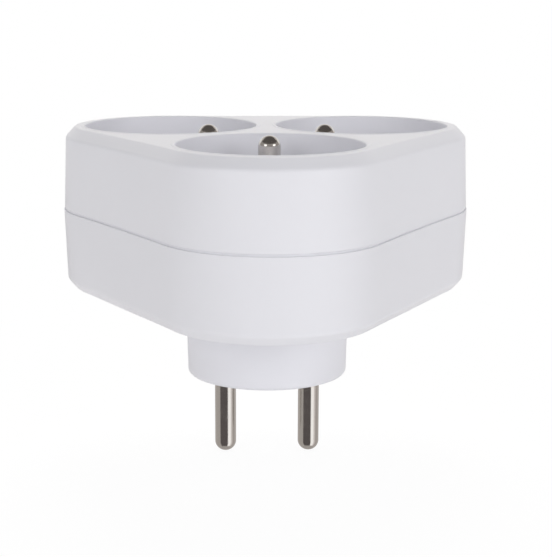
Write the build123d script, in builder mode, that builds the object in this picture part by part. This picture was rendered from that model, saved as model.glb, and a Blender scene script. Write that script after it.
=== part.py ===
from build123d import *
from math import atan2, cos, degrees, hypot, radians, sin, sqrt, tan
import os

os.makedirs("parts", exist_ok=True)

# Three-way mains adapter, in millimetres. +Z points up, out of the sockets.
# The origin is the centre of the plug's flat face, with the plug pins below it.

# Plug and socket standard
pin_d = 4.8
pin_gap = 19.0
pin_len = 19.0
pin_tip_r = 2.3
earth_shift = 10.0

# Body heights
boss_len = 17.8
lower_height = 18.2
upper_height = 18.7

# Sockets
well_d = 39.0
well_web = 4.6
well_depth = 15.0
well_floor_t = 2.5
well_lip = 0.4
contact_hole_ease = 0.6
contact_hole_lead = 0.5
earth_pin_rise = 0.6

# Outline of the body
rim_t = 4.95
side_waist = 0.3
upper_draft = 0.35
lower_draft = 2.7
top_chamfer = 2.3
top_chamfer_in = 2.25
under_chamfer = 1.9
under_chamfer_in = 1.5

# Walls
case_wall = 2.0
top_wall = 2.2
cup_overlap = 0.3
lower_wall = 2.2

# Joint between the shells
seam_gap = 0.4
tongue_t = 1.0
tongue_h = 1.6
tongue_clear = 0.1

# Boss
boss_clear = 0.6
boss_draft = 0.3
boss_wall = 2.4
boss_floor_t = 3.0
boss_edge = 0.7
spigot_t = 1.4
spigot_clear = 0.1

# Conductors
bar_t = 1.0
bar_w = 6.0
bar_hub_r = 5.0
bar_pad_band = 1.7
bar_bend_r = 0.8
live_rise = 4.0
bar_space = 3.0
contact_clear = 0.025
contact_wall = 0.775
contact_slot = 1.2
contact_foot_t = 0.8
contact_foot_w = 5.0
contact_foot_margin = 0.3
contact_lead = 0.3
contact_top_gap = 0.2
pin_path_clear = 0.5

# Pins, collars and peened ends
face_clear = 0.1
neck_step = 0.2
collar_step = 1.0
collar_t = 2.0
stem_d = 4.0
tail_d = 3.2
peen_step = 1.0
peen_t = 0.8
peen_round = 0.4
fit_gap = 0.05
stem_clear = 0.1
earth_collar_step = 1.1
earth_collar_t = 1.2
earth_tail_r = 1.5

# Earth socket of the plug
tube_wall = 0.975
tube_top = 15.0
tube_lip = 1.0
tube_spigot_wall = 0.525
tube_collar_step = 1.0
tube_peen_step = 0.55
tube_peen_t = 0.5
leg_ring_band = 1.95
leg_inset = 0.2

# Contact carrier
carrier_t = 4.0
carrier_clear = 0.2
carrier_wall = 1.8
carrier_plate_t = 1.5
carrier_notch_in = 0.9
carrier_notch_clear = 1.2
guide_wall = 1.5
carrier_screw_x = 6.5
carrier_screw_y = -9.0
carrier_screw_r = 1.0
carrier_screw_head_r = 2.0
carrier_screw_head_t = 1.4
carrier_screw_head_round = 0.5
carrier_screw_floor = 1.2
carrier_screw_tip_gap = 0.4
carrier_post_r = 2.6

# Posts and case screws
post_r = 1.6
post_clear = 0.9
screw_inset = 7.2
screw_post_r = 3.6
screw_base_r = 5.0
screw_r = 1.5
screw_len = 25.0
screw_tip_gap = 1.0
screw_point = 0.9
screw_head_r = 2.9
screw_head_t = 2.2
screw_head_round = 0.75
screw_well_r = 3.2
screw_well_depth = 3.7
screw_base_t = 1.5
hole_clear = 0.2
drive_w = 0.7
drive_l = 3.2
drive_depth = 1.1
carrier_drive_depth = 0.7
rivet_r = 0.8
rivet_clear = 1.1
rivet_head_r = 1.5
rivet_head_t = 0.7
rivet_head_round = 0.4
centre_post_r = 3.2
plate_clear = 0.25

# Heights and radii that follow
pin_r = pin_d / 2
well_r = well_d / 2
seam_z = boss_len + lower_height
top_z = seam_z + upper_height
well_floor_z = top_z - well_depth
well_under_z = well_floor_z - well_floor_t
inner_floor_z = boss_len + lower_wall
lower_rim_z = seam_z - seam_gap / 2
upper_rim_z = seam_z + seam_gap / 2
socket_spacing = well_d + well_web
ring_r = socket_spacing / sqrt(3)
earth_ring = ring_r - earth_shift
contact_ring = hypot(ring_r, pin_gap / 2)
contact_turn = degrees(atan2(pin_gap / 2, ring_r))
seam_corner_r = well_r + rim_t
under_corner_r = seam_corner_r - (lower_rim_z - boss_len) * tan(radians(lower_draft))
cup_r = seam_corner_r - case_wall + cup_overlap
screw_ring = ring_r / 2 + seam_corner_r - side_waist - screw_inset
live_z = inner_floor_z + live_rise
neutral_z = live_z + bar_t + bar_space
earth_top_z = well_under_z - earth_collar_t
earth_z = earth_top_z - bar_t
contact_top_z = seam_z - contact_top_gap
contact_r = pin_r + contact_clear
contact_out_r = contact_r + contact_wall
contact_hole_r = (pin_d + contact_hole_ease) / 2
path_r = pin_r + pin_path_clear
bar_pad_r = path_r + bar_pad_band
post_reach = path_r + post_r + post_clear
rivet_back = contact_out_r + rivet_head_r + rivet_clear
earth_collar_r = pin_r + earth_collar_step
stem_r = stem_d / 2
tail_r = tail_d / 2
pin_collar_r = pin_r + collar_step
guide_r = stem_r + stem_clear + guide_wall
tube_r = contact_r + tube_wall
tube_collar_r = tube_r + tube_collar_step
tube_spigot_r = contact_r + tube_spigot_wall
tube_peen_r = tube_spigot_r + tube_peen_step
leg_ring_r = tube_spigot_r + leg_ring_band
boss_bore_r = earth_shift + leg_ring_r + boss_clear
boss_r = boss_bore_r + boss_wall
carrier_z = boss_floor_t + collar_t
carrier_top_z = carrier_z + carrier_t
plate_top_z = inner_floor_z + carrier_plate_t
spigot_r = boss_bore_r + spigot_t
carrier_notch_w = 2 * (leg_ring_r - carrier_notch_in)
leg_y = earth_shift + leg_ring_r - leg_inset - bar_t
screw_seat_z = boss_len + screw_well_depth
well_angles = [-90, 30, 150]
live_angles = [a - contact_turn for a in well_angles]
neutral_angles = [a + contact_turn for a in well_angles]
screw_angles = [a + 60 for a in well_angles]


def polar(radius, angle):
    """A point of the plan at a radius and an angle in degrees."""
    return (radius * cos(radians(angle)), radius * sin(radians(angle)))


def upright(x, y):
    """The upright plane through a point of the plan, facing the front, for turned profiles."""
    return Plane(origin=(x, y, 0), x_dir=(1, 0, 0), z_dir=(0, -1, 0))


def trace_outline(corner_r):
    """Draws the body's outline: an arc round each well centre, joined by three slightly hollow sides."""
    half = socket_spacing / 2
    reach = seam_corner_r - side_waist
    side_r = (half**2 + reach**2 - seam_corner_r**2) / (2 * side_waist)
    far = ring_r / 2 + reach + side_r
    hollow_r = side_r + seam_corner_r - corner_r
    for angle in well_angles:
        centre = Vector(*polar(ring_r, angle))
        before = Vector(*polar(far, angle - 60))
        after = Vector(*polar(far, angle + 60))
        following = Vector(*polar(ring_r, angle + 120))
        start = centre + (before - centre).normalized() * corner_r
        end = centre + (after - centre).normalized() * corner_r
        resume = following + (after - following).normalized() * corner_r
        outermost = Vector(*polar(ring_r + corner_r, angle))
        middle = Vector(*polar(far - hollow_r, angle + 60))
        ThreePointArc(start, outermost, end)
        ThreePointArc(end, middle, resume)


# Top shell: lid, side wall and the walls of the three wells in one moulding
with BuildPart() as top_shell:
    with BuildSketch(Plane.XY.offset(upper_rim_z)):
        with BuildLine():
            trace_outline(seam_corner_r)
        make_face()
    extrude(amount=top_z - upper_rim_z, taper=upper_draft)
    lid_face = top_shell.faces().sort_by(Axis.Z)[-1]
    chamfer(lid_face.edges(), length=top_chamfer_in, length2=top_chamfer, reference=lid_face)
    with BuildSketch(Plane.XY.offset(upper_rim_z)):
        with BuildLine():
            trace_outline(seam_corner_r - case_wall)
        make_face()
    extrude(amount=top_z - top_wall - upper_rim_z, taper=upper_draft, mode=Mode.SUBTRACT)
    # rebate that takes the bottom shell's tongue
    with BuildSketch(Plane.XY.offset(upper_rim_z)):
        with BuildLine():
            trace_outline(seam_corner_r - tongue_t + tongue_clear)
        make_face()
    extrude(amount=lower_rim_z + tongue_h - upper_rim_z, mode=Mode.SUBTRACT)
    # walls of the wells, which stand on the socket plate, and the solid middle of the lid
    with BuildSketch(Plane.XY.offset(well_floor_z)):
        with PolarLocations(ring_r, 3, start_angle=well_angles[0]):
            Circle(cup_r)
        Circle(centre_post_r)
    extrude(amount=top_z - top_wall - well_floor_z)
    # screw posts
    with BuildSketch(Plane.XY.offset(upper_rim_z + hole_clear)):
        with PolarLocations(screw_ring, 3, start_angle=screw_angles[0]):
            Circle(screw_post_r)
    extrude(amount=top_z - top_wall - upper_rim_z - hole_clear)
    with BuildSketch(Plane.XY.offset(upper_rim_z)):
        with PolarLocations(screw_ring, 3, start_angle=screw_angles[0]):
            Circle(screw_r + fit_gap)
    extrude(amount=screw_seat_z + screw_len + screw_tip_gap - upper_rim_z, mode=Mode.SUBTRACT)
    # wells
    with BuildSketch(Plane.XY.offset(well_floor_z)):
        with PolarLocations(ring_r, 3, start_angle=well_angles[0]):
            Circle(well_r)
    extrude(amount=well_depth, mode=Mode.SUBTRACT)
    rim_edges = top_shell.edges().filter_by(GeomType.CIRCLE).filter_by_position(Axis.Z, top_z, top_z)
    chamfer([e for e in rim_edges if abs(e.radius - well_r) < 0.01], length=well_lip)


# Socket plate: the floor of all three wells, under the walls of the wells
with BuildPart() as socket_plate:
    with BuildSketch(Plane.XY.offset(well_under_z)):
        with BuildLine():
            trace_outline(seam_corner_r - case_wall - plate_clear)
        make_face()
        with PolarLocations(screw_ring, 3, start_angle=screw_angles[0]):
            Circle(screw_post_r + plate_clear, mode=Mode.SUBTRACT)
    extrude(amount=well_floor_t)
    with BuildSketch(Plane.XY.offset(well_under_z)):
        for angle in live_angles + neutral_angles:
            with Locations(polar(contact_ring, angle)):
                Circle(contact_hole_r)
        with PolarLocations(earth_ring, 3, start_angle=well_angles[0]):
            Circle(pin_r + face_clear)
    extrude(amount=well_floor_t, mode=Mode.SUBTRACT)
    floor_edges = socket_plate.edges().filter_by(GeomType.CIRCLE).filter_by_position(Axis.Z, well_floor_z, well_floor_z)
    chamfer([e for e in floor_edges if abs(e.radius - contact_hole_r) < 0.01], length=contact_hole_lead)


# Bottom shell: a tray with its side wall, and a round hole for the plug's boss
with BuildPart() as bottom_shell:
    with BuildSketch(Plane.XY.offset(boss_len)):
        with BuildLine():
            trace_outline(under_corner_r)
        make_face()
    extrude(amount=lower_rim_z - boss_len, taper=-lower_draft)
    under_face = bottom_shell.faces().sort_by(Axis.Z)[0]
    chamfer(under_face.edges(), length=under_chamfer_in, length2=under_chamfer, reference=under_face)
    # inside of the tray
    with BuildSketch(Plane.XY.offset(inner_floor_z)):
        with BuildLine():
            trace_outline(under_corner_r + lower_wall * tan(radians(lower_draft)) - case_wall)
        make_face()
    extrude(amount=lower_rim_z - inner_floor_z, taper=-lower_draft, mode=Mode.SUBTRACT)
    # tongue of the joint
    with BuildSketch(Plane.XY.offset(lower_rim_z)):
        with BuildLine():
            trace_outline(seam_corner_r - tongue_t)
        make_face()
        with BuildLine():
            trace_outline(seam_corner_r - case_wall)
        make_face(mode=Mode.SUBTRACT)
    extrude(amount=tongue_h)
    # screw posts
    with BuildSketch(Plane.XY.offset(inner_floor_z)):
        with PolarLocations(screw_ring, 3, start_angle=screw_angles[0]):
            Circle(screw_post_r)
    extrude(amount=lower_rim_z - inner_floor_z)
    with BuildSketch(Plane.XY.offset(boss_len + lower_wall / 2)):
        with PolarLocations(screw_ring, 3, start_angle=screw_angles[0]):
            Circle(screw_base_r)
    extrude(amount=screw_seat_z + screw_base_t - boss_len - lower_wall / 2)
    # screw holes, sunk from the underside
    with BuildSketch(Plane.XY.offset(boss_len)):
        with PolarLocations(screw_ring, 3, start_angle=screw_angles[0]):
            Circle(screw_well_r)
    extrude(amount=screw_well_depth, mode=Mode.SUBTRACT)
    with BuildSketch(Plane.XY.offset(screw_seat_z)):
        with PolarLocations(screw_ring, 3, start_angle=screw_angles[0]):
            Circle(screw_r + hole_clear)
    extrude(amount=lower_rim_z - screw_seat_z, mode=Mode.SUBTRACT)
    # hole for the boss
    with BuildSketch(Plane.XY.offset(boss_len)):
        Circle(spigot_r + spigot_clear)
    extrude(amount=lower_wall, mode=Mode.SUBTRACT)


# Plug boss: a round cup with the plug's face as its floor, and a spigot through the bottom shell
with BuildPart() as plug_boss:
    with BuildSketch(Plane.XY):
        Circle(boss_r)
    extrude(amount=boss_len, taper=-boss_draft)
    chamfer(plug_boss.faces().sort_by(Axis.Z)[0].edges(), length=boss_edge)
    with BuildSketch(Plane.XY.offset(boss_len)):
        Circle(spigot_r)
    extrude(amount=lower_wall)
    with BuildSketch(Plane.XY.offset(boss_floor_t)):
        Circle(boss_bore_r)
    extrude(amount=inner_floor_z - boss_floor_t, mode=Mode.SUBTRACT)
    with BuildSketch(Plane.XY.offset(boss_floor_t)):
        with Locations((carrier_screw_x, carrier_screw_y), (-carrier_screw_x, carrier_screw_y)):
            Circle(carrier_post_r)
    extrude(amount=collar_t)
    # holes of the plug's face
    with BuildSketch(Plane.XY):
        with Locations((pin_gap / 2, 0), (-pin_gap / 2, 0)):
            Circle(pin_r + face_clear)
        with Locations((0, earth_shift)):
            Circle(contact_hole_r)
    extrude(amount=boss_floor_t, mode=Mode.SUBTRACT)
    with BuildSketch(Plane.XY.offset(tube_lip)):
        with Locations((0, earth_shift)):
            Circle(tube_r + face_clear)
    extrude(amount=boss_floor_t - tube_lip, mode=Mode.SUBTRACT)
    with BuildSketch(Plane.XY.offset(carrier_screw_floor)):
        with Locations((carrier_screw_x, carrier_screw_y), (-carrier_screw_x, carrier_screw_y)):
            Circle(carrier_screw_r + fit_gap)
    extrude(amount=carrier_z - carrier_screw_floor, mode=Mode.SUBTRACT)


def plug_pin(x, bar_z):
    """A round plug pin at x: rounded tip, collar in the boss, stem, and a tail peened over its bar."""
    peen_r = tail_r + peen_step
    peen_top_z = bar_z + bar_t + peen_t
    with BuildPart() as pin:
        with BuildSketch(upright(x, 0)):
            with BuildLine():
                Polyline(
                    (0, -pin_len),
                    (pin_r, -pin_len),
                    (pin_r, 0),
                    (pin_r - neck_step, 0),
                    (pin_r - neck_step, boss_floor_t),
                    (pin_collar_r, boss_floor_t),
                    (pin_collar_r, carrier_z),
                    (stem_r, carrier_z),
                    (stem_r, bar_z),
                    (tail_r, bar_z),
                    (tail_r, bar_z + bar_t),
                    (peen_r, bar_z + bar_t),
                    (peen_r, peen_top_z),
                    (0, peen_top_z),
                    close=True,
                )
            make_face()
        revolve(axis=Axis((x, 0, 0), (0, 0, 1)))
        fillet(pin.faces().sort_by(Axis.Z)[0].edges(), radius=pin_tip_r)
        fillet(pin.faces().sort_by(Axis.Z)[-1].edges(), radius=peen_round)
    return pin.part


# The live pin is on the right, seen from the front
plug_pin_live = plug_pin(pin_gap / 2, live_z)
plug_pin_neutral = plug_pin(-pin_gap / 2, neutral_z)


# Earth socket of the plug: a brass tube with a collar, peened into the earth bar's ring
with BuildPart() as plug_earth_socket:
    with BuildSketch(upright(0, earth_shift)):
        with BuildLine():
            Polyline(
                (contact_r, tube_lip),
                (tube_r, tube_lip),
                (tube_r, boss_floor_t),
                (tube_collar_r, boss_floor_t),
                (tube_collar_r, carrier_z),
                (tube_r, carrier_z),
                (tube_r, tube_top),
                (tube_spigot_r, tube_top),
                (tube_spigot_r, tube_top + bar_t),
                (tube_peen_r, tube_top + bar_t),
                (tube_peen_r, tube_top + bar_t + tube_peen_t),
                (contact_r, tube_top + bar_t + tube_peen_t),
                close=True,
            )
        make_face()
    revolve(axis=Axis((0, earth_shift, 0), (0, 0, 1)))


# Contact carrier: a cup over the pins' collars, and a plate on the tray's floor with the posts of the bars
with BuildPart() as contact_carrier:
    with BuildSketch(Plane.XY.offset(carrier_z)):
        Circle(boss_bore_r - carrier_clear)
    extrude(amount=plate_top_z - carrier_z)
    with BuildSketch(Plane.XY.offset(inner_floor_z)):
        with BuildLine():
            trace_outline(under_corner_r - case_wall - plate_clear)
        make_face()
        with PolarLocations(screw_ring, 3, start_angle=screw_angles[0]):
            Circle(screw_base_r + plate_clear, mode=Mode.SUBTRACT)
    extrude(amount=carrier_plate_t)
    with BuildSketch(Plane.XY.offset(carrier_top_z)):
        Circle(boss_bore_r - carrier_clear - carrier_wall)
        with Locations((0, boss_bore_r)):
            Rectangle(carrier_notch_w, 2 * (boss_bore_r - leg_y + carrier_notch_clear))
    extrude(amount=plate_top_z - carrier_top_z, mode=Mode.SUBTRACT)
    # guides round the stems of the plug pins
    with BuildSketch(Plane.XY.offset(carrier_z)):
        with Locations((pin_gap / 2, 0)):
            Circle(guide_r)
    extrude(amount=live_z - carrier_z)
    with BuildSketch(Plane.XY.offset(carrier_z)):
        with Locations((-pin_gap / 2, 0)):
            Circle(guide_r)
    extrude(amount=neutral_z - carrier_z)
    # posts: live bar, neutral bar, earth bar
    with BuildSketch(Plane.XY.offset(inner_floor_z)):
        with PolarLocations(contact_ring + post_reach, 3, start_angle=live_angles[0]):
            Circle(post_r)
    extrude(amount=live_z - inner_floor_z)
    with BuildSketch(Plane.XY.offset(inner_floor_z)):
        with PolarLocations(contact_ring + post_reach, 3, start_angle=neutral_angles[0]):
            Circle(post_r)
    extrude(amount=neutral_z - inner_floor_z)
    with BuildSketch(Plane.XY.offset(inner_floor_z)):
        with PolarLocations(ring_r, 3, start_angle=well_angles[0]):
            Circle(post_r)
    extrude(amount=earth_z - inner_floor_z)
    # holes: stems, earth socket, screws, and the ends of the pins put into the sockets
    with BuildSketch(Plane.XY.offset(carrier_z)):
        with Locations((pin_gap / 2, 0), (-pin_gap / 2, 0)):
            Circle(stem_r + stem_clear)
        with Locations((0, earth_shift)):
            Circle(tube_r + face_clear)
        with Locations((carrier_screw_x, carrier_screw_y), (-carrier_screw_x, carrier_screw_y)):
            Circle(carrier_screw_r + hole_clear)
    extrude(amount=neutral_z - carrier_z, mode=Mode.SUBTRACT)
    with BuildSketch(Plane.XY.offset(inner_floor_z)):
        for angle in live_angles + neutral_angles:
            with Locations(polar(contact_ring, angle)):
                Circle(path_r)
    extrude(amount=carrier_plate_t, mode=Mode.SUBTRACT)


def pole_bar(angles, pin_x, z):
    """A three-armed strip at height z: an eye over its plug pin, and a pad with a hole at each contact."""
    with BuildPart() as bar:
        with BuildSketch(Plane.XY.offset(z)):
            Circle(bar_hub_r)
            arm = contact_ring + post_reach + post_r
            for angle in angles:
                with PolarLocations(arm / 2, 1, start_angle=angle):
                    Rectangle(arm, bar_w)
                with Locations(polar(contact_ring, angle)):
                    Circle(bar_pad_r)
            with Locations((pin_x, 0)):
                Circle(bar_pad_r)
            with Locations((pin_x / 2, 0)):
                Rectangle(abs(pin_x), bar_w)
        extrude(amount=bar_t)
        with BuildSketch(Plane.XY.offset(z)):
            for angle in angles:
                with Locations(polar(contact_ring, angle)):
                    Circle(path_r)
                with Locations(polar(contact_ring - rivet_back, angle)):
                    Circle(rivet_r + fit_gap)
            with Locations((pin_x, 0)):
                Circle(tail_r + fit_gap)
        extrude(amount=bar_t, mode=Mode.SUBTRACT)
    return bar.part


live_bar = pole_bar(live_angles, pin_gap / 2, live_z)
neutral_bar = pole_bar(neutral_angles, -pin_gap / 2, neutral_z)


# Earth bar: three arms to the earth pins, and a leg down to the ring on the earth socket
with BuildPart() as earth_bar:
    with BuildSketch(Plane.XY.offset(earth_z)):
        Circle(bar_hub_r)
        arm = ring_r + post_r
        with PolarLocations(arm / 2, 3, start_angle=well_angles[0]):
            Rectangle(arm, bar_w)
        with PolarLocations(earth_ring, 3, start_angle=well_angles[0]):
            Circle(bar_pad_r)
        with Locations((0, (leg_y + bar_t) / 2)):
            Rectangle(bar_w, leg_y + bar_t)
    extrude(amount=bar_t)
    with BuildSketch(Plane.XY.offset(tube_top)):
        with Locations((0, leg_y + bar_t / 2)):
            Rectangle(bar_w, bar_t)
    extrude(amount=earth_top_z - tube_top)
    with BuildSketch(Plane.XY.offset(tube_top)):
        with Locations((0, earth_shift)):
            Circle(leg_ring_r)
        with Locations((0, (earth_shift + leg_y + bar_t) / 2)):
            Rectangle(bar_w, leg_y + bar_t - earth_shift)
    extrude(amount=bar_t)
    with BuildSketch(Plane.XY.offset(tube_top)):
        with Locations((0, earth_shift)):
            Circle(tube_spigot_r + fit_gap)
    extrude(amount=bar_t, mode=Mode.SUBTRACT)
    with BuildSketch(Plane.XY.offset(earth_z)):
        with PolarLocations(earth_ring, 3, start_angle=well_angles[0]):
            Circle(earth_tail_r + fit_gap)
    extrude(amount=bar_t, mode=Mode.SUBTRACT)
    upper_edges = earth_bar.edges().filter_by(Axis.X).group_by(Axis.Z)[-1]
    fillet(upper_edges.sort_by(Axis.Y)[-1], radius=bar_bend_r)


def socket_contact(angle, bar_z):
    """A split spring sleeve on its foot, which stands on a bar at height bar_z."""
    x, y = polar(contact_ring, angle)
    out_x, out_y = polar(1, angle)
    seat = Plane(origin=(x, y, bar_z + bar_t), x_dir=(out_x, out_y, 0), z_dir=(0, 0, 1))
    sleeve_h = contact_top_z - bar_z - bar_t
    foot_l = rivet_back + rivet_head_r + contact_foot_margin
    with BuildPart() as contact:
        with BuildSketch(seat):
            with Locations((-foot_l / 2, 0)):
                Rectangle(foot_l, contact_foot_w)
            Circle(contact_out_r)
            Circle(contact_r, mode=Mode.SUBTRACT)
            with Locations((-rivet_back, 0)):
                Circle(rivet_r + fit_gap, mode=Mode.SUBTRACT)
        extrude(amount=contact_foot_t)
        with BuildSketch(seat.offset(contact_foot_t)):
            Circle(contact_out_r)
            Circle(contact_r, mode=Mode.SUBTRACT)
            with Locations((contact_out_r, 0)):
                Rectangle(contact_out_r, contact_slot, mode=Mode.SUBTRACT)
        extrude(amount=sleeve_h - contact_foot_t)
        mouth = contact.faces().sort_by(Axis.Z)[-1].edges().filter_by(GeomType.CIRCLE)
        chamfer([e for e in mouth if abs(e.radius - contact_r) < 0.01], length=contact_lead)
    return contact.part


live_contacts = [socket_contact(a, live_z) for a in live_angles]
neutral_contacts = [socket_contact(a, neutral_z) for a in neutral_angles]


def bar_rivets(angles, bar_z):
    """Three rivets through a bar and the contacts' feet."""
    foot_top = bar_z + bar_t + contact_foot_t
    with BuildPart() as rivets:
        with BuildSketch(Plane.XY.offset(bar_z)):
            for angle in angles:
                with Locations(polar(contact_ring - rivet_back, angle)):
                    Circle(rivet_r)
        extrude(amount=bar_t + contact_foot_t)
        with BuildSketch(Plane.XY.offset(bar_z - rivet_head_t)):
            for angle in angles:
                with Locations(polar(contact_ring - rivet_back, angle)):
                    Circle(rivet_head_r)
        extrude(amount=rivet_head_t)
        with BuildSketch(Plane.XY.offset(foot_top)):
            for angle in angles:
                with Locations(polar(contact_ring - rivet_back, angle)):
                    Circle(rivet_head_r)
        extrude(amount=rivet_head_t)
        ends = rivets.edges().filter_by(GeomType.CIRCLE).group_by(Axis.Z)
        fillet(ends[0] + ends[-1], radius=rivet_head_round)
    return rivets.part


live_rivets = bar_rivets(live_angles, live_z)
neutral_rivets = bar_rivets(neutral_angles, neutral_z)


def earth_pin(angle):
    """The male earth pin of a well: dome, barrel, neck in the floor, collar, and a tail peened under the earth bar."""
    x, y = polar(earth_ring, angle)
    dome_z = top_z + earth_pin_rise - pin_r
    peen_r = earth_tail_r + peen_step
    with BuildPart() as pin:
        with BuildSketch(upright(x, y)):
            with BuildLine():
                Polyline(
                    (0, dome_z + pin_r),
                    (0, earth_z - peen_t),
                    (peen_r, earth_z - peen_t),
                    (peen_r, earth_z),
                    (earth_tail_r, earth_z),
                    (earth_tail_r, earth_top_z),
                    (earth_collar_r, earth_top_z),
                    (earth_collar_r, well_under_z),
                    (pin_r - neck_step, well_under_z),
                    (pin_r - neck_step, well_floor_z),
                    (pin_r, well_floor_z),
                    (pin_r, dome_z),
                )
                CenterArc((0, dome_z), pin_r, 0, 90)
            make_face()
        revolve(axis=Axis((x, y, 0), (0, 0, 1)))
    return pin.part


earth_pins = [earth_pin(a) for a in well_angles]


def cross():
    """Draws a cross recess at each place of the current sketch."""
    Rectangle(drive_l, drive_w)
    Rectangle(drive_w, drive_l)


# Case screws, driven in from the underside
screw_points = [polar(screw_ring, a) for a in screw_angles]
with BuildPart() as case_screws:
    with BuildSketch(Plane.XY.offset(screw_seat_z)):
        with Locations(*screw_points):
            Circle(screw_r)
    extrude(amount=screw_len)
    tips = case_screws.edges().filter_by(GeomType.CIRCLE).group_by(Axis.Z)[-1]
    chamfer(tips, length=screw_point)
    with BuildSketch(Plane.XY.offset(screw_seat_z - screw_head_t)):
        with Locations(*screw_points):
            Circle(screw_head_r)
    extrude(amount=screw_head_t)
    heads = case_screws.edges().filter_by(GeomType.CIRCLE).group_by(Axis.Z)[0]
    fillet(heads, radius=screw_head_round)
    with BuildSketch(Plane.XY.offset(screw_seat_z - screw_head_t)):
        with Locations(*screw_points):
            cross()
    extrude(amount=drive_depth, mode=Mode.SUBTRACT)

# Carrier screws, down into the boss
carrier_points = [(carrier_screw_x, carrier_screw_y), (-carrier_screw_x, carrier_screw_y)]
with BuildPart() as carrier_screws:
    with BuildSketch(Plane.XY.offset(carrier_screw_floor + carrier_screw_tip_gap)):
        with Locations(*carrier_points):
            Circle(carrier_screw_r)
    extrude(amount=carrier_top_z - carrier_screw_floor - carrier_screw_tip_gap)
    with BuildSketch(Plane.XY.offset(carrier_top_z)):
        with Locations(*carrier_points):
            Circle(carrier_screw_head_r)
    extrude(amount=carrier_screw_head_t)
    heads = carrier_screws.edges().filter_by(GeomType.CIRCLE).group_by(Axis.Z)[-1]
    fillet(heads, radius=carrier_screw_head_round)
    with BuildSketch(Plane.XY.offset(carrier_top_z + carrier_screw_head_t)):
        with Locations(*carrier_points):
            cross()
    extrude(amount=-carrier_drive_depth, mode=Mode.SUBTRACT)


nodes = {
    "top_shell": top_shell.part,
    "socket_plate": socket_plate.part,
    "bottom_shell": bottom_shell.part,
    "plug_boss": plug_boss.part,
    "plug_pin_live": plug_pin_live,
    "plug_pin_neutral": plug_pin_neutral,
    "plug_earth_socket": plug_earth_socket.part,
    "contact_carrier": contact_carrier.part,
    "live_bar": live_bar,
    "neutral_bar": neutral_bar,
    "earth_bar": earth_bar.part,
    "live_rivets": live_rivets,
    "neutral_rivets": neutral_rivets,
    "case_screws": case_screws.part,
    "carrier_screws": carrier_screws.part,
}
for i in range(3):
    nodes[f"live_contact_{i + 1}"] = live_contacts[i]
    nodes[f"neutral_contact_{i + 1}"] = neutral_contacts[i]
    nodes[f"earth_pin_{i + 1}"] = earth_pins[i]

for name, part in nodes.items():
    part.label = name
    export_step(part, f"parts/{name}.step")
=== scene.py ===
"""Three-way mains adapter: the looks of the white moulded case, of the nickel-plated pins and of what shows
through the holes."""

import bmesh
import bpy
import numpy as np
from mathutils import Matrix, Vector
from mathutils.geometry import delaunay_2d_cdt


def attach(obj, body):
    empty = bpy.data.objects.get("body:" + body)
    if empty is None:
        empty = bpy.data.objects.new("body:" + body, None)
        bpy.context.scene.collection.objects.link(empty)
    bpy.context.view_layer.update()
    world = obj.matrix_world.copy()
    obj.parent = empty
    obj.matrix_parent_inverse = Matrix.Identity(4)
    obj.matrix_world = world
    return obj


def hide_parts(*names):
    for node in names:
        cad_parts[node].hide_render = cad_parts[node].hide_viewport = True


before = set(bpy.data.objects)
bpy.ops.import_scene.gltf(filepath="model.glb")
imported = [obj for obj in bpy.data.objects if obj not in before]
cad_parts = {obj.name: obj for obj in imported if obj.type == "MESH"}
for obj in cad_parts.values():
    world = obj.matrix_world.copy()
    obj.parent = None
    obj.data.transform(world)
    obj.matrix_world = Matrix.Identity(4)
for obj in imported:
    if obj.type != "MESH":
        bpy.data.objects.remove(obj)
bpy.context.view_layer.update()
SCENE = bpy.context.scene
MM = 0.001

# Plug and socket sizes, in millimetres, as in the part's source
PIN_R = 2.4
PIN_GAP = 19.0
PIN_LEN = 19.0
PIN_TIP_R = 2.3
EARTH_SHIFT = 10.0
DOME_RISE = 0.6
BOSS_LEN = 17.8
SEAM_Z = 36.0
TOP_Z = 54.7
WELL_R = 19.5
WELL_WEB = 4.6
WELL_FLOOR_Z = 39.7
PLATE_UNDER_Z = 37.2
RING_R = (2 * WELL_R + WELL_WEB) / np.sqrt(3)
EARTH_RING = RING_R - EARTH_SHIFT
CORNER_R = WELL_R + 4.95
SIDE_WAIST = 0.3
WELL_ANGLES = (-90.0, 30.0, 150.0)
SCREW_ANGLES = (-30.0, 90.0, 210.0)

# Case walls and the joint between the two shells
SEAM_HALF = 0.2
TONGUE_TOP_Z = SEAM_Z - SEAM_HALF + 1.6
TONGUE_T = 1.0
TONGUE_CLEAR = 0.1
GROOVE_DEPTH = 0.22
GROOVE_GAP = 0.04
CASE_WALL = 2.0
TOP_WALL = 2.2
LOWER_WALL = 2.2
CUP_R = CORNER_R - CASE_WALL + 0.3
CUP_CLEAR = 0.05
POCKET_TOP_Z = TOP_Z - TOP_WALL
INNER_FLOOR_Z = BOSS_LEN + LOWER_WALL

# Outside of the case, as the photograph's outline shows it
LID_Z = 54.6
UPPER_SLOPE = np.tan(np.radians(2.1))
LOWER_SLOPE = np.tan(np.radians(1.9))
BOSS_SLOPE = np.tan(np.radians(1.3))
LOWER_PROUD = 0.15
SIDE_FILL = 0.3
TOP_CHAMFER = (2.05, 2.3)
UNDER_CHAMFER = (1.7, 2.0)
LID_STRIP = 0.9
UNDER_STRIP = 1.0

# Raised lip round each well, measured outwards from the well's wall
LIP_RISE = 0.15
LIP_TOP_W = 0.75
LIP_FOOT_W = 0.95
LIP_END_W = 1.2

# Softening of the moulded edges, which the mould maker's cutter leaves
CHAMFER_SOFT = 1.6
LID_SOFT = 0.8
UNDER_SOFT = 0.4
LIP_SOFT = 0.4
LIP_FOOT_SOFT = 0.15
RIM_SOFT = 0.18

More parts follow.
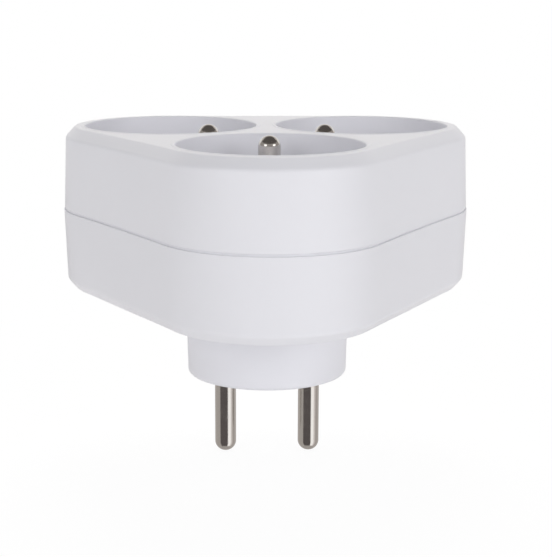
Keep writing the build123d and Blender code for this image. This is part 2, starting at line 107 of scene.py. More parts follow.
# Case screws, their posts and wells
SCREW_RING = RING_R / 2 + CORNER_R - SIDE_WAIST - 7.2
SCREW_POST_R = 3.6
SCREW_POST_GAP = 0.2
SCREW_BASE_R = 4.3
SCREW_BASE_RISE = 1.5
SCREW_WELL_R = 3.2
SCREW_SEAT_Z = BOSS_LEN + 3.7
SCREW_HOLE_R = 1.7
SCREW_TIP_Z = SCREW_SEAT_Z + 26.0
SCREW_TIP_R = 1.55

# Boss, with the holes in its face and the posts of the carrier inside
BOSS_R = 17.9
BOSS_EDGE = 0.9
BOSS_STRIP = 1.0
BOSS_BORE_R = 15.5
BOSS_FLOOR_T = 3.0
SPIGOT_R = 16.9
HOLE_CLEAR = 0.1
EARTH_MOUTH_R = 2.7
EARTH_MOUTH_T = 1.0
TUBE_R = 3.4
CARRIER_Z = 5.0
CARRIER_SCREW = (6.5, -9.0)
CARRIER_POST_R = 2.6
PILOT_R = 1.05
PILOT_Z = 1.2

# Turned pins: necks, collars and the tails peened over the bars
NECK_STEP = 0.2
PIN_COLLAR = 1.0
PIN_STEM_R = 2.0
PIN_TAIL_R = 1.6
PIN_PEEN_R = 2.6
PIN_PEEN_SOFT = 0.4
BAR_T = 1.0
PEEN_T = 0.8
LIVE_BAR_Z = 24.0
NEUTRAL_BAR_Z = 28.0
EARTH_BAR_Z = 35.0
EARTH_COLLAR = 1.1
EARTH_TAIL_R = 1.5
EARTH_PEEN_R = 2.5

# How finely curves are divided
CORNER_STEPS = 72
SIDE_STEPS = 26
WELL_STEPS = 144
BOSS_STEPS = 180
TURNED_STEPS = 96
HOLE_STEPS = 48
QUARTER_STEPS = 25
TIP_STEPS = 12

MERGE_DISTANCE = 2e-6
SHARP_ANGLE = 28.0


def linear(code):
    """An sRGB hex colour as linear red, green, blue and alpha."""
    rgb = np.array([int(code[k:k + 2], 16) for k in (0, 2, 4)]) / 255
    low = rgb / 12.92
    high = ((rgb + 0.055) / 1.055) ** 2.4
    return (*np.where(rgb <= 0.04045, low, high), 1.0)


def polar(radius, angle):
    """A point of the plan at a radius and an angle in degrees."""
    return np.array([radius * np.cos(np.radians(angle)), radius * np.sin(np.radians(angle))])


def circle(centre, radius, count):
    """A loop of points round a centre, counter-clockwise from +X: the centre plus the radius times each
    direction."""
    turn = 2 * np.pi * np.arange(count) / count
    return np.array(centre) + radius * np.stack([np.cos(turn), np.sin(turn)], axis=1)


def level(plan, z):
    """A loop of the plan lifted to a height."""
    return np.column_stack([plan, np.full(len(plan), z)])


def case_outline():
    """The case's outline at the seam and its outward normals. Each corner is an arc of CORNER_R round a well's
    centre, and each side an arc of a large circle that lies outside the case, so that the side is hollow by
    SIDE_WAIST. A point of any other level is the seam's point less an inset along its normal."""
    half = WELL_R + WELL_WEB / 2
    reach = CORNER_R - SIDE_WAIST
    side_r = (half**2 + reach**2 - CORNER_R**2) / (2 * SIDE_WAIST)
    far = RING_R / 2 + reach + side_r
    points, normals = [], []
    for angle in WELL_ANGLES:
        centre = polar(RING_R, angle)
        before, after = polar(far, angle - 60) - centre, polar(far, angle + 60) - centre
        start, end = np.arctan2(before[1], before[0]), np.arctan2(after[1], after[0])
        end += 2 * np.pi * (end < start)
        turn = np.linspace(start, end, CORNER_STEPS)
        out = np.stack([np.cos(turn), np.sin(turn)], axis=1)
        points.append(centre + CORNER_R * out)
        normals.append(out)
        hub = polar(far, angle + 60)
        following = polar(RING_R, angle + 120)
        first, last = points[-1][-1] - hub, following - hub
        start, end = np.arctan2(first[1], first[0]), np.arctan2(last[1], last[0])
        end += 2 * np.pi * np.round((start - end) / (2 * np.pi))
        turn = np.linspace(start, end, SIDE_STEPS)[1:-1]
        out = np.stack([np.cos(turn), np.sin(turn)], axis=1)
        points.append(hub + side_r * out)
        normals.append(-out)
    return np.concatenate(points), np.concatenate(normals)


OUTLINE, OUTWARD = case_outline()


def side_weight():
    """How near each point of the outline is to the middle of its side: one less the square of its way along the
    side over half the side's length, squared again, and nothing round the corners."""
    weight = np.zeros(len(OUTLINE))
    for angle in SCREW_ANGLES:
        along = OUTLINE @ polar(1, angle + 90) / (WELL_R + WELL_WEB / 2)
        on_side = OUTLINE @ polar(1, angle) > RING_R / 2
        weight += np.where(on_side, np.clip(1 - along**2, 0, 1) ** 2, 0)
    return weight[:, None]


SIDE_WEIGHT = side_weight()


def outline_at(inset, fill=0.0):
    """The case's outline moved inwards by an inset along its own normals, with its hollow sides filled by so
    much."""
    return OUTLINE - (inset - fill * SIDE_WEIGHT) * OUTWARD


def softened(corners, radii, steps=7):
    """A profile of straight runs whose inner corners are replaced by arcs tangent to both runs: each arc's centre
    lies on the bisector, at the radius over the cosine of half the turn. A radius of 0 keeps the corner sharp."""
    path = [np.array(corners[0], float)]
    for before, at, after, radius in zip(corners[:-2], corners[1:-1], corners[2:], radii):
        before, at, after = np.array(before, float), np.array(at, float), np.array(after, float)
        into = (at - before) / np.linalg.norm(at - before)
        away = (after - at) / np.linalg.norm(after - at)
        turn = np.arccos(np.clip(into @ away, -1, 1))
        if radius == 0 or turn < 1e-3:
            path.append(at)
            continue
        length = radius * np.tan(turn / 2)
        middle = (away - into) / np.linalg.norm(away - into)
        centre = at + middle * radius / np.cos(turn / 2)
        start = at - into * length - centre
        side = np.cross(into, away)
        angles = np.sign(side) * np.linspace(0, turn, steps)
        cos, sin = np.cos(angles), np.sin(angles)
        arc = np.stack([start[0] * cos - start[1] * sin, start[0] * sin + start[1] * cos], axis=1)
        path.extend(centre + arc)
    path.append(np.array(corners[-1], float))
    return np.array(path)


def inside(points, loop):
    """Which points lie inside a closed loop, by counting the loop's edges that a ray to +X crosses."""
    a, b = loop, np.roll(loop, -1, axis=0)
    x, y = points[:, :1], points[:, 1:]
    spans = (a[:, 1] > y) != (b[:, 1] > y)
    rise = np.where(b[:, 1] == a[:, 1], 1.0, b[:, 1] - a[:, 1])
    at = a[:, 0] + (y - a[:, 1]) / rise * (b[:, 0] - a[:, 0])
    return (spans & (x < at)).sum(axis=1) % 2 == 1


def close(mesh):
    """Merges the vertices that patches share and marks the real edges as sharp."""
    work = bmesh.new()
    work.from_mesh(mesh)
    bmesh.ops.remove_doubles(work, verts=work.verts, dist=MERGE_DISTANCE)
    bmesh.ops.recalc_face_normals(work, faces=work.faces)
    work.to_mesh(mesh)
    work.free()
    mesh.shade_smooth()
    mesh.set_sharp_from_angle(angle=np.radians(SHARP_ANGLE))


class Shape:
    """Vertices in millimetres and faces, gathered patch by patch and then closed into one mesh by merging the
    edges that patches share."""

    def __init__(self):
        self.points, self.faces, self.count = [], [], 0

    def add(self, points, faces):
        """Takes in one patch, whose faces count its own points from 0."""
        self.points.append(points)
        self.faces.extend((np.asarray(faces) + self.count).tolist())
        self.count += len(points)

    def rings(self, loops):
        """Skin over closed loops of equally many points: row i and column j of the grid join to the next row and
        column."""
        grid = np.array(loops)
        rows, columns = grid.shape[:2]
        i, j = np.meshgrid(np.arange(rows - 1), np.arange(columns), indexing="ij")
        k = (j + 1) % columns
        lower, upper = i * columns, (i + 1) * columns
        quads = np.stack([lower + j, lower + k, upper + k, upper + j], axis=-1)
        self.add(grid.reshape(-1, 3), quads.reshape(-1, 4))

    def turned(self, centre, profile, count=TURNED_STEPS):
        """A turned skin: each (radius, height) of the profile becomes a circle round the centre."""
        self.rings([level(circle(centre, r, count), z) for r, z in profile])

    def flat(self, loops, z, up=True):
        """A level face between the first loop and the others, which are holes, by constrained Delaunay
        triangles."""
        plan = np.concatenate(loops)
        edges, at = [], 0
        for loop in loops:
            index = at + np.arange(len(loop))
            edges += np.stack([index, np.roll(index, -1)], axis=1).tolist()
            at += len(loop)
        found = delaunay_2d_cdt([Vector(p) for p in plan], edges, [], 1, 1e-7)
        corners = np.array([list(v) for v in found[0]])
        triangles = np.array(found[2])
        middles = corners[triangles].mean(axis=1)
        keep = inside(middles, loops[0])
        for hole in loops[1:]:
            keep &= ~inside(middles, hole)
        triangles = triangles[keep]
        a, b, c = (corners[triangles[:, k]] for k in range(3))
        area = (b - a)[:, 0] * (c - a)[:, 1] - (b - a)[:, 1] * (c - a)[:, 0]
        wrong = (area > 0) != up
        triangles[wrong] = triangles[wrong][:, ::-1]
        self.add(level(corners, z), triangles)

    def object(self, name, material, node):
        """The mesh as an object of the scene, smooth but sharp at real edges, riding on the root and standing for
        a CAD node."""
        mesh = bpy.data.meshes.new(name)
        mesh.from_pydata((np.concatenate(self.points) * MM).tolist(), [], self.faces)
        obj = bpy.data.objects.new(name, mesh)
        SCENE.collection.objects.link(obj)
        close(mesh)
        mesh.materials.append(material)
        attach(obj, "root")
        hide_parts(node)


# Materials

# The Mix node's colour sockets, which share their names with its other kinds of socket
MIX_A, MIX_B, MIX_RESULT = 6, 7, 2


def add_node(tree, kind, settings=None, links=None):
    """Adds a node, sets its properties and sockets, and links its inputs."""
    node = tree.nodes.new(kind)
    for key, value in (settings or {}).items():
        if key in node.inputs:
            node.inputs[key].default_value = value
        else:
            setattr(node, key, value)
    for key, source in (links or {}).items():
        tree.links.new(source, node.inputs[key])
    return node


def new_material(name):
    """An empty material with its shader, and the object's own coordinates in millimetres."""
    material = bpy.data.materials.new(name)
    material.use_nodes = True
    tree = material.node_tree
    tree.nodes.clear()
    output = add_node(tree, "ShaderNodeOutputMaterial")
    shader = add_node(tree, "ShaderNodeBsdfPrincipled")
    tree.links.new(shader.outputs[0], output.inputs[0])
    place = add_node(tree, "ShaderNodeTexCoord")
    millimetres = add_node(tree, "ShaderNodeVectorMath", {"operation": "SCALE", "Scale": 1 / MM},
                           {"Vector": place.outputs["Object"]})
    return material, tree, shader, millimetres.outputs[0]


def moulded_plastic(name, pale, deep, rough, grain_mm, grain_depth):
    """Injection-moulded thermoplastic: a satin skin that copies the spark-eroded mould, so its gloss is soft and
    its surface finely grained, and a pigment that is even apart from slow, faint clouds."""
    material, tree, shader, mm = new_material(name)
    clouds = add_node(tree, "ShaderNodeTexNoise", {"Scale": 1 / 22.0, "Detail": 3.0}, {"Vector": mm})
    colour = add_node(tree, "ShaderNodeMix", {"data_type": "RGBA"}, {"Factor": clouds.outputs["Fac"]})
    colour.inputs[MIX_A].default_value = linear(deep)
    colour.inputs[MIX_B].default_value = linear(pale)
    tree.links.new(colour.outputs[MIX_RESULT], shader.inputs["Base Color"])
    # the real grain is about 0.05 mm, too fine to show, so it is drawn coarser
    grain = add_node(tree, "ShaderNodeTexNoise", {"Scale": 1 / grain_mm, "Detail": 2.0}, {"Vector": mm})
    gloss = add_node(tree, "ShaderNodeMapRange", {
        "From Min": 0.3, "From Max": 0.7, "To Min": rough - 0.04, "To Max": rough + 0.05,
    }, {"Value": grain.outputs["Fac"]})
    tree.links.new(gloss.outputs["Result"], shader.inputs["Roughness"])
    bump = add_node(tree, "ShaderNodeBump", {"Strength": 0.35, "Distance": grain_depth * MM},
                    {"Height": grain.outputs["Fac"]})
    tree.links.new(bump.outputs["Normal"], shader.inputs["Normal"])
    shader.inputs["IOR"].default_value = 1.5
    return material


def plated_metal(name, bright, dull, rough, turn_mm, turn_depth):
    """Turned or stamped metal, most of it plated: faint marks left by the tool, across the pin, under a bright
    skin whose colour and gloss drift a little with handling."""
    material, tree, shader, mm = new_material(name)
    shader.inputs["Metallic"].default_value = 1.0
    patches = add_node(tree, "ShaderNodeTexNoise", {"Scale": 1 / 3.0, "Detail": 4.0}, {"Vector": mm})
    colour = add_node(tree, "ShaderNodeMix", {"data_type": "RGBA"}, {"Factor": patches.outputs["Fac"]})
    colour.inputs[MIX_A].default_value = linear(dull)
    colour.inputs[MIX_B].default_value = linear(bright)
    tree.links.new(colour.outputs[MIX_RESULT], shader.inputs["Base Color"])
    gloss = add_node(tree, "ShaderNodeMapRange", {
        "From Min": 0.35, "From Max": 0.7, "To Min": rough - 0.03, "To Max": rough + 0.08,
    }, {"Value": patches.outputs["Fac"]})
    tree.links.new(gloss.outputs["Result"], shader.inputs["Roughness"])
    # the noise is squeezed along the axis, so that it makes rings rather than spots
    squeezed = add_node(tree, "ShaderNodeMapping", {"Scale": (0.15, 0.15, 1 / turn_mm)}, {"Vector": mm})
    rings = add_node(tree, "ShaderNodeTexNoise", {"Scale": 1.0, "Detail": 2.0},
                     {"Vector": squeezed.outputs[0]})
    bump = add_node(tree, "ShaderNodeBump", {"Strength": 0.4, "Distance": turn_depth * MM},
                    {"Height": rings.outputs["Fac"]})
    tree.links.new(bump.outputs["Normal"], shader.inputs["Normal"])
    return material


CASE_PLASTIC = moulded_plastic("white_abs_moulded", "ececf2", "eaeaf0", 0.42, 0.45, 0.02)
INNER_PLASTIC = moulded_plastic("off_white_polyamide_moulded", "ded9cb", "d6d0c0", 0.5, 0.5, 0.03)
NICKEL = plated_metal("nickel_plated_brass", "d3cfcb", "cac6c1", 0.15, 0.3, 0.002)
BRASS = plated_metal("stamped_brass", "dcbf78", "c9a862", 0.3, 0.6, 0.01)
SPRING_BRASS = plated_metal("rolled_spring_brass", "d3b06a", "bd9858", 0.27, 0.5, 0.01)
ZINC = plated_metal("zinc_plated_steel", "c8cbd0", "aeb3ba", 0.34, 0.4, 0.02)

# Case


def pocket(angle, inset):
    """The hollow between two well walls and the side wall, seen from above: the side wall's inner outline as far
    as it lies outside the cups of radius CUP_R, then each cup's arc back to the point where the two cups meet."""
    wall = outline_at(inset)
    cups = [polar(RING_R, angle + 60), polar(RING_R, angle - 60)]
    free = np.ones(len(wall), bool)
    for cup in cups:
        free &= np.linalg.norm(wall - cup, axis=1) > CUP_R + CUP_CLEAR
    free &= wall @ polar(1, angle) > RING_R
    index = np.nonzero(free)[0]
    if index[-1] - index[0] > len(wall) / 2:
        index = np.sort((index + len(wall) // 2) % len(wall)) - len(wall) // 2
    run = wall[index]
    apex = polar(RING_R / 2 + np.sqrt(CUP_R**2 - (WELL_R + WELL_WEB / 2) ** 2), angle)
    loop = [run]
    for cup, start, end in ((cups[0], run[-1], apex), (cups[1], apex, run[0])):
        a, b = (np.arctan2(*(p - cup)[::-1]) for p in (start, end))
        b = a + (b - a + np.pi) % (2 * np.pi) - np.pi
        turn = np.linspace(a, b, QUARTER_STEPS)[1:]
        loop.append(cup + CUP_R * np.stack([np.cos(turn), np.sin(turn)], axis=1))
    return np.concatenate(loop)[:-1]


def top_shell():
    """Outer skin from the seam up over the chamfer to the lid, the wells with their lips down to the socket
    plate, and the hollow inside: every level section is the outline less an inset, or circles round the wells'
    centres."""
    shape = Shape()
    rim_z = SEAM_Z + SEAM_HALF
    top_inset = (LID_Z - rim_z) * UPPER_SLOPE
    chamfer_z = LID_Z - TOP_CHAMFER[1]
    lid_inset = top_inset + TOP_CHAMFER[0]
    lid_end = lid_inset + LID_STRIP
    inner = CASE_WALL + (WELL_FLOOR_Z - rim_z) * UPPER_SLOPE
    rebate = TONGUE_T - TONGUE_CLEAR
    profile = softened(
        [
            (inner, WELL_FLOOR_Z), (CASE_WALL, TONGUE_TOP_Z), (rebate, TONGUE_TOP_Z), (rebate, rim_z),
            (0, rim_z), ((chamfer_z - rim_z) * UPPER_SLOPE, chamfer_z), (lid_inset, LID_Z), (lid_end, LID_Z),
        ],
        [0, 0, 0, RIM_SOFT, CHAMFER_SOFT, LID_SOFT],
    )
    shape.rings([level(outline_at(inset), z) for inset, z in profile])

    lip_z = LID_Z + LIP_RISE
    lip_end = WELL_R + LIP_END_W
    lip = softened(
        [
            (lip_end, LID_Z), (WELL_R + LIP_FOOT_W, LID_Z), (WELL_R + LIP_TOP_W, lip_z), (WELL_R, lip_z),
            (WELL_R, WELL_FLOOR_Z),
        ],
        [LIP_FOOT_SOFT, LIP_FOOT_SOFT, LIP_SOFT],
    )
    centres = [polar(RING_R, a) for a in WELL_ANGLES]
    for centre in centres:
        shape.turned(centre, lip, WELL_STEPS)
    shape.flat([outline_at(lid_end)] + [circle(c, lip_end, WELL_STEPS) for c in centres], LID_Z)

    pockets = [pocket(a, inner) for a in SCREW_ANGLES]
    wells = [circle(c, WELL_R, WELL_STEPS) for c in centres]
    shape.flat([outline_at(inner)] + wells + pockets, WELL_FLOOR_Z, up=False)
    post_z = rim_z + SCREW_POST_GAP
    for loop, angle in zip(pockets, SCREW_ANGLES):
        centre = polar(SCREW_RING, angle)
        shape.rings([level(loop, WELL_FLOOR_Z), level(loop, POCKET_TOP_Z)])
        shape.flat([loop, circle(centre, SCREW_POST_R, HOLE_STEPS)], POCKET_TOP_Z, up=False)
        shape.turned(centre, [
            (SCREW_POST_R, POCKET_TOP_Z), (SCREW_POST_R, post_z), (SCREW_TIP_R, post_z),
            (SCREW_TIP_R, SCREW_TIP_Z), (0, SCREW_TIP_Z),
        ], HOLE_STEPS)
    shape.object("top_case_moulding", CASE_PLASTIC, "top_shell")


def bottom_shell():
    """Outer skin from the tongue of the seam down over the soft lower chamfer to the flat underside, the hole for
    the boss, the three screw wells, and the hollow inside. Its sides are filled more the lower they are."""
    shape = Shape()
    rim_z = SEAM_Z - SEAM_HALF
    under_inset = (rim_z - BOSS_LEN) * LOWER_SLOPE - LOWER_PROUD
    chamfer_z = BOSS_LEN + UNDER_CHAMFER[1]
    chamfer_inset = (rim_z - chamfer_z) * LOWER_SLOPE - LOWER_PROUD
    flat_inset = under_inset + UNDER_CHAMFER[0]
    flat_end = flat_inset + UNDER_STRIP
    inner = under_inset - LOWER_WALL * LOWER_SLOPE + CASE_WALL
    groove_top = SEAM_Z + SEAM_HALF - GROOVE_GAP
    profile = softened(
        [
            (flat_end, BOSS_LEN), (flat_inset, BOSS_LEN), (chamfer_inset, chamfer_z), (-LOWER_PROUD, rim_z),
            (GROOVE_DEPTH, rim_z), (GROOVE_DEPTH, groove_top), (TONGUE_T, groove_top),
            (TONGUE_T, TONGUE_TOP_Z), (CASE_WALL, TONGUE_TOP_Z), (CASE_WALL, rim_z), (inner, INNER_FLOOR_Z),
        ],
        [UNDER_SOFT, CHAMFER_SOFT, RIM_SOFT, 0, 0, 0, 0, 0, 0],
    )
    outer = np.cumsum(profile[:, 1] > rim_z - 1e-6) == 0
    fills = np.where(outer, SIDE_FILL * (rim_z - profile[:, 1]) / (rim_z - BOSS_LEN), 0)
    shape.rings([level(outline_at(inset, fill), z) for (inset, z), fill in zip(profile, fills)])

    boss_hole = circle((0, 0), SPIGOT_R + HOLE_CLEAR, WELL_STEPS)
    shape.rings([level(boss_hole, BOSS_LEN), level(boss_hole, INNER_FLOOR_Z)])
    screws = [polar(SCREW_RING, a) for a in SCREW_ANGLES]
    base_z = SCREW_SEAT_Z + SCREW_BASE_RISE
    wells, bases = [], []
    for centre in screws:
        well, hole, post, base = (circle(centre, r, HOLE_STEPS)
                                  for r in (SCREW_WELL_R, SCREW_HOLE_R, SCREW_POST_R, SCREW_BASE_R))
        shape.rings([level(well, BOSS_LEN), level(well, SCREW_SEAT_Z)])
        shape.flat([well, hole], SCREW_SEAT_Z, up=False)
        shape.rings([
            level(hole, SCREW_SEAT_Z), level(hole, rim_z), level(post, rim_z), level(post, base_z),
            level(base, base_z), level(base, INNER_FLOOR_Z),
        ])
        wells.append(well)
        bases.append(base)
    shape.flat([outline_at(flat_end, SIDE_FILL), boss_hole] + wells, BOSS_LEN, up=False)
    shape.flat([outline_at(inner), boss_hole] + bases, INNER_FLOOR_Z)
    shape.object("bottom_case_moulding", CASE_PLASTIC, "bottom_shell")


def plug_boss():
    """A round cup turned from its own profile, with a flat face, the holes in that face, and two screw posts
    inside."""
    shape = Shape()
    face_end = BOSS_R - BOSS_EDGE - BOSS_STRIP
    wall = softened(
        [
            (face_end, 0), (BOSS_R, 0), (BOSS_R + BOSS_LEN * BOSS_SLOPE, BOSS_LEN), (SPIGOT_R, BOSS_LEN),
            (SPIGOT_R, INNER_FLOOR_Z), (BOSS_BORE_R, INNER_FLOOR_Z), (BOSS_BORE_R, BOSS_FLOOR_T),
        ],
        [BOSS_EDGE, 0, 0, 0, 0],
    )
    shape.turned((0, 0), wall, BOSS_STEPS)
    pins = [circle((x, 0), PIN_R + HOLE_CLEAR, HOLE_STEPS) for x in (-PIN_GAP / 2, PIN_GAP / 2)]
    tube, tube_r = (0, EARTH_SHIFT), TUBE_R + HOLE_CLEAR
    mouth, tube_hole = circle(tube, EARTH_MOUTH_R, HOLE_STEPS), circle(tube, tube_r, HOLE_STEPS)
    posts = [(x, CARRIER_SCREW[1]) for x in (-CARRIER_SCREW[0], CARRIER_SCREW[0])]
    bases = [circle(c, CARRIER_POST_R, HOLE_STEPS) for c in posts]
    shape.flat([circle((0, 0), face_end, BOSS_STEPS), mouth] + pins, 0, up=False)
    shape.flat([circle((0, 0), BOSS_BORE_R, BOSS_STEPS), tube_hole] + pins + bases, BOSS_FLOOR_T)
    for hole in pins:
        shape.rings([level(hole, 0), level(hole, BOSS_FLOOR_T)])
    shape.turned(tube, [
        (EARTH_MOUTH_R, 0), (EARTH_MOUTH_R, EARTH_MOUTH_T), (tube_r, EARTH_MOUTH_T), (tube_r, BOSS_FLOOR_T),
    ], HOLE_STEPS)
    for centre in posts:
        shape.turned(centre, [
            (CARRIER_POST_R, BOSS_FLOOR_T), (CARRIER_POST_R, CARRIER_Z), (PILOT_R, CARRIER_Z),
            (PILOT_R, PILOT_Z), (0, PILOT_Z),
        ], HOLE_STEPS)
    shape.object("plug_boss_moulding", CASE_PLASTIC, "plug_boss")


def plug_pin(name, x, bar_z):
    """A pin turned from bar: rounded tip, plain barrel, neck in the boss, collar, stem, and a tail peened over
    its bar."""
    shape = Shape()
    neck_r, collar_r = PIN_R - NECK_STEP, PIN_R + PIN_COLLAR
    bar_top, peen_top = bar_z + BAR_T, bar_z + BAR_T + PEEN_T
    profile = softened(
        [
            (0, -PIN_LEN), (PIN_R, -PIN_LEN), (PIN_R, 0), (neck_r, 0), (neck_r, BOSS_FLOOR_T),
            (collar_r, BOSS_FLOOR_T), (collar_r, CARRIER_Z), (PIN_STEM_R, CARRIER_Z), (PIN_STEM_R, bar_z),
            (PIN_TAIL_R, bar_z), (PIN_TAIL_R, bar_top), (PIN_PEEN_R, bar_top), (PIN_PEEN_R, peen_top),
            (0, peen_top),
        ],
        [PIN_TIP_R, 0, 0, 0, 0, 0, 0, 0, 0, 0, 0, PIN_PEEN_SOFT],
        TIP_STEPS,
    )
    shape.turned((x, 0), profile)
    shape.object(name + "_turned", NICKEL, name)


def earth_pin(number, angle):
    """A well's male earth pin, turned from bar: peened tail, collar under the plate, barrel, and a half ball on
    top."""
    shape = Shape()
    neck_r, collar_r = PIN_R - NECK_STEP, PIN_R + EARTH_COLLAR
    peen_z, bar_top = EARTH_BAR_Z - PEEN_T, EARTH_BAR_Z + BAR_T
    tail = [
        (0, peen_z), (EARTH_PEEN_R, peen_z), (EARTH_PEEN_R, EARTH_BAR_Z), (EARTH_TAIL_R, EARTH_BAR_Z),
        (EARTH_TAIL_R, bar_top), (collar_r, bar_top), (collar_r, PLATE_UNDER_Z), (neck_r, PLATE_UNDER_Z),
        (neck_r, WELL_FLOOR_Z), (PIN_R, WELL_FLOOR_Z),
    ]
    quarter = np.linspace(0, np.pi / 2, QUARTER_STEPS)
    ball_z = TOP_Z + DOME_RISE - PIN_R
    dome = np.stack([PIN_R * np.cos(quarter), ball_z + PIN_R * np.sin(quarter)], axis=1)
    shape.turned(polar(EARTH_RING, angle), np.concatenate([tail, dome]))
    shape.object(f"earth_pin_{number}_turned", NICKEL, f"earth_pin_{number}")


top_shell()
bottom_shell()
plug_boss()
plug_pin("plug_pin_live", PIN_GAP / 2, LIVE_BAR_Z)
plug_pin("plug_pin_neutral", -PIN_GAP / 2, NEUTRAL_BAR_Z)
for number, angle in enumerate(WELL_ANGLES, 1):
    earth_pin(number, angle)

# CAD nodes whose shape stays, with the material that each gets
KEPT_NODES = {
    "socket_plate": CASE_PLASTIC, "contact_carrier": INNER_PLASTIC, "plug_earth_socket": BRASS,
    "live_bar": BRASS, "neutral_bar": BRASS, "earth_bar": BRASS, "live_rivets": BRASS, "neutral_rivets": BRASS,
    "case_screws": ZINC, "carrier_screws": ZINC,
    "live_contact_1": SPRING_BRASS, "live_contact_2": SPRING_BRASS, "live_contact_3": SPRING_BRASS,
    "neutral_contact_1": SPRING_BRASS, "neutral_contact_2": SPRING_BRASS, "neutral_contact_3": SPRING_BRASS,
}
for name, material in KEPT_NODES.items():
    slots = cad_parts[name].data.materials
    slots.clear()
    slots.append(material)

# Camera, fitted to the photograph's 552 by 557 picture: degrees, millimetres and pixels
PICTURE_LONG = 557
SENSOR = 36.0
CAM_AZIMUTH = -1.5024
CAM_DISTANCE = 327.15
CAM_HEIGHT = 89.68
CAM_YAW = -0.3456
CAM_PITCH = 11.8113
CAM_ROLL = 0.2033
CAM_FOCAL_PX = 1482.08
CAM_NEAR = 10.0
CAM_FAR = 20000.0

camera = bpy.data.objects.new("camera", bpy.data.cameras.new("camera"))
SCENE.collection.objects.link(camera)
around = np.radians(CAM_AZIMUTH)
heading = np.radians(CAM_AZIMUTH + CAM_YAW)
camera.location = Vector((CAM_DISTANCE * np.sin(around), -CAM_DISTANCE * np.cos(around), CAM_HEIGHT)) * MM
turned = (Matrix.Rotation(heading, 4, "Z") @ Matrix.Rotation(np.radians(90 - CAM_PITCH), 4, "X")
          @ Matrix.Rotation(np.radians(CAM_ROLL), 4, "Z"))
camera.rotation_euler = turned.to_euler()
camera.data.sensor_width = SENSOR
camera.data.lens = CAM_FOCAL_PX * SENSOR / PICTURE_LONG
camera.data.clip_start = CAM_NEAR * MM
camera.data.clip_end = CAM_FAR * MM
SCENE.camera = camera
SCENE.view_settings.view_transform = "Standard"

# Light

MIDDLE_Z = 25.0
LAMP_DISTANCE = 900.0
ROOM_R = 3000.0
SOFTBOX_FACE_R = 2900.0
CARD_ROWS = 41
CARD_COLUMNS = 21
ROOM_STRENGTH = 0.335
WHITE = (1, 1, 1, 1)


def at_angle(azimuth, elevation, distance):
    """A place round the object's middle: azimuth to the right of the straight front, elevation above the level,
    in degrees."""
    a, e = np.radians(azimuth), np.radians(elevation)
    flat = distance * np.cos(e)
    return (flat * np.sin(a), -flat * np.cos(a), MIDDLE_Z + distance * np.sin(e))


def softbox(name, azimuth, elevation, width, height, watts, tint):
    """A rectangular area lamp at an angle round the object, turned to its middle. What would reflect it sees the
    cards instead."""
    data = bpy.data.lights.new(name, "AREA")
    data.color = linear(tint)[:3]
    data.shape = "RECTANGLE"
    data.size, data.size_y, data.energy = width * MM, height * MM, watts
    lamp = bpy.data.objects.new(name, data)
    SCENE.collection.objects.link(lamp)
    place, aim = Vector(at_angle(azimuth, elevation, LAMP_DISTANCE)), Vector((0, 0, MIDDLE_Z))
    lamp.location = place * MM
    lamp.rotation_euler = (aim - place).to_track_quat("-Z", "Y").to_euler()
    lamp.visible_glossy = False


def card(name, azimuths, elevations, code, strength, radius):
    """A piece of the room round the object, part of a ball: place = radius times the direction of each azimuth
    and elevation. It's seen only in what reflects it, and neither lights the object nor throws a shadow."""
    az, el = np.linspace(*azimuths, CARD_ROWS), np.linspace(*elevations, CARD_COLUMNS)
    grid = np.stack(at_angle(*np.meshgrid(az, el, indexing="ij"), radius), axis=-1)
    i, j = np.meshgrid(np.arange(CARD_ROWS - 1), np.arange(CARD_COLUMNS - 1), indexing="ij")
    near = i * CARD_COLUMNS + j
    far = near + CARD_COLUMNS
    faces = np.stack([near, far, far + 1, near + 1], axis=-1).reshape(-1, 4)
    mesh = bpy.data.meshes.new(name)
    mesh.from_pydata((grid.reshape(-1, 3) * MM).tolist(), [], faces.tolist())
    obj = bpy.data.objects.new(name, mesh)
    SCENE.collection.objects.link(obj)
    material = bpy.data.materials.new(name)
    material.use_nodes = True
    tree = material.node_tree
    tree.nodes.clear()
    glow = add_node(tree, "ShaderNodeEmission", {"Color": linear(code), "Strength": strength})
    add_node(tree, "ShaderNodeOutputMaterial", {}, {0: glow.outputs[0]})
    mesh.materials.append(material)
    for kind in ("camera", "diffuse", "transmission", "volume_scatter", "shadow"):
        setattr(obj, "visible_" + kind, False)


def seen_directly(tree):
    """A factor of 1 for what the camera sees straight on, in a reflection or through glass, and 0 for the light
    on the object."""
    rays = add_node(tree, "ShaderNodeLightPath")
    seen = rays.outputs["Is Camera Ray"]
    for kind in ("Is Glossy Ray", "Is Transmission Ray"):
        either = add_node(tree, "ShaderNodeMath", {"operation": "MAXIMUM"}, {0: seen, 1: rays.outputs[kind]})
        seen = either.outputs[0]
    return seen


# name, azimuth, elevation, width, height, watts, tint
for lamp in (
    ("left_softbox", -37, 18, 420, 320, 1.12, "ffffff"),
    ("right_softbox", 48, 15, 420, 320, 1.57, "ffffff"),
    ("front_softbox", 0, 14, 450, 450, 0.87, "ffffff"),
    ("back_softbox", 180, 52, 450, 450, 4.4, "fffbf4"),
):
    softbox(*lamp)

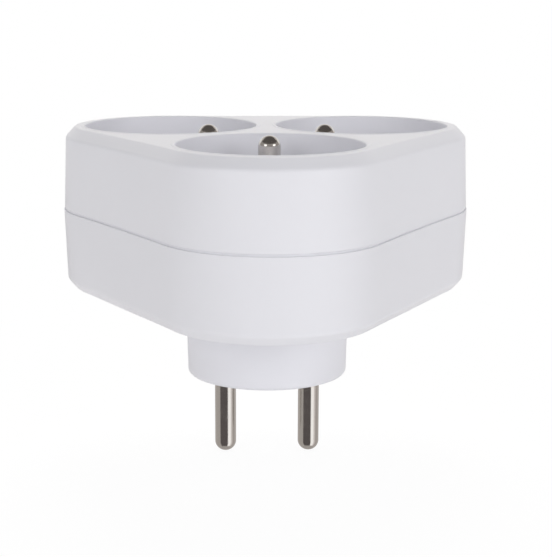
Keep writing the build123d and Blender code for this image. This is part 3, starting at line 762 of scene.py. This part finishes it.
# name, range of azimuths, range of elevations, colour, strength, radius
for piece in (
    ("grey_room_front", (-119, 119), (-8, 32), "a8a4a1", 1.0, ROOM_R),
    ("dark_room_front", (-119, 119), (32, 90), "605c5a", 1.0, ROOM_R),
    ("grey_room_back", (119, 241), (30, 47), "cfcbc8", 1.0, ROOM_R),
    ("dark_room_over_back", (119, 241), (47, 90), "605c5a", 1.0, ROOM_R),
    ("dark_room_low", (-60, 26), (-57, -8), "656060", 1.0, ROOM_R),
    ("grey_card_left", (-119, -60), (-57, -8), "c0bcb8", 1.0, ROOM_R),
    ("bright_card_low", (26, 60), (-57, -8), "ffffff", 1.4, ROOM_R),
    ("pale_card_low", (60, 77), (-57, -8), "f4f0ef", 1.0, ROOM_R),
    ("light_grey_card_low", (77, 91), (-57, -8), "d0cac8", 1.0, ROOM_R),
    ("grey_card_low", (91, 105), (-57, -8), "b8b2af", 1.0, ROOM_R),
    ("grey_card_back", (105, 241), (-57, -8), "c8c4c1", 1.0, ROOM_R),
    ("grey_floor", (-180, 180), (-89, -57), "bcb8b5", 1.0, ROOM_R),
    ("left_softbox_face", (-56, -30), (12, 23), "ffffff", 3.0, SOFTBOX_FACE_R),
    ("right_softbox_face", (37, 63), (12, 23), "ffffff", 3.0, SOFTBOX_FACE_R),
):
    card(*piece)

# The room is white to the eye and lights the object with a third of that
world = bpy.data.worlds.new("white_room")
SCENE.world = world
world.use_nodes = True
world.node_tree.nodes.clear()
room = add_node(world.node_tree, "ShaderNodeBackground", {"Color": WHITE, "Strength": ROOM_STRENGTH})
white = add_node(world.node_tree, "ShaderNodeBackground", {"Color": WHITE, "Strength": 1.0})
either = add_node(world.node_tree, "ShaderNodeMixShader", {},
                  {0: seen_directly(world.node_tree), 1: room.outputs[0], 2: white.outputs[0]})
add_node(world.node_tree, "ShaderNodeOutputWorld", {}, {0: either.outputs[0]})

# Floor under the tips of the plug pins: white to the eye, with part of its own shading kept near the object, so
# that the object's shadow shows
FLOOR_HALF = 3000.0
FLOOR_ROUGH = 0.9
FLOOR_GLOW = 0.2
SHADOW_NEAR = 20.0
SHADOW_FAR = 150.0
SHADOW_COVER = 0.93

floor_mesh = bpy.data.meshes.new("floor")
floor_corners = np.array([(-1, -1), (1, -1), (1, 1), (-1, 1)]) * FLOOR_HALF
floor_mesh.from_pydata((level(floor_corners, -PIN_LEN) * MM).tolist(), [], [(0, 1, 2, 3)])
floor = bpy.data.objects.new("floor", floor_mesh)
SCENE.collection.objects.link(floor)
floor_material, floor_tree, floor_shader, floor_mm = new_material("white_card")
floor_shader.inputs["Base Color"].default_value = linear("f6f6f6")
floor_shader.inputs["Roughness"].default_value = FLOOR_ROUGH
floor_shader.inputs["Specular IOR Level"].default_value = 0.0
floor_shader.inputs["Emission Color"].default_value = WHITE
floor_shader.inputs["Emission Strength"].default_value = FLOOR_GLOW
glow = add_node(floor_tree, "ShaderNodeEmission", {"Color": WHITE, "Strength": 1.0})
reach = add_node(floor_tree, "ShaderNodeVectorMath", {"operation": "LENGTH"}, {0: floor_mm})
cover = add_node(floor_tree, "ShaderNodeMapRange", {
    "From Min": SHADOW_NEAR, "From Max": SHADOW_FAR, "To Min": SHADOW_COVER, "To Max": 1.0,
    "interpolation_type": "SMOOTHSTEP",
}, {"Value": reach.outputs["Value"]})
mask = add_node(floor_tree, "ShaderNodeMath", {"operation": "MULTIPLY"},
                {0: seen_directly(floor_tree), 1: cover.outputs["Result"]})
blend = add_node(floor_tree, "ShaderNodeMixShader", {},
                 {0: mask.outputs[0], 1: floor_shader.outputs[0], 2: glow.outputs[0]})
floor_tree.links.new(blend.outputs[0], floor_tree.nodes["Material Output"].inputs[0])
floor_mesh.materials.append(floor_material)
floor.visible_glossy = False
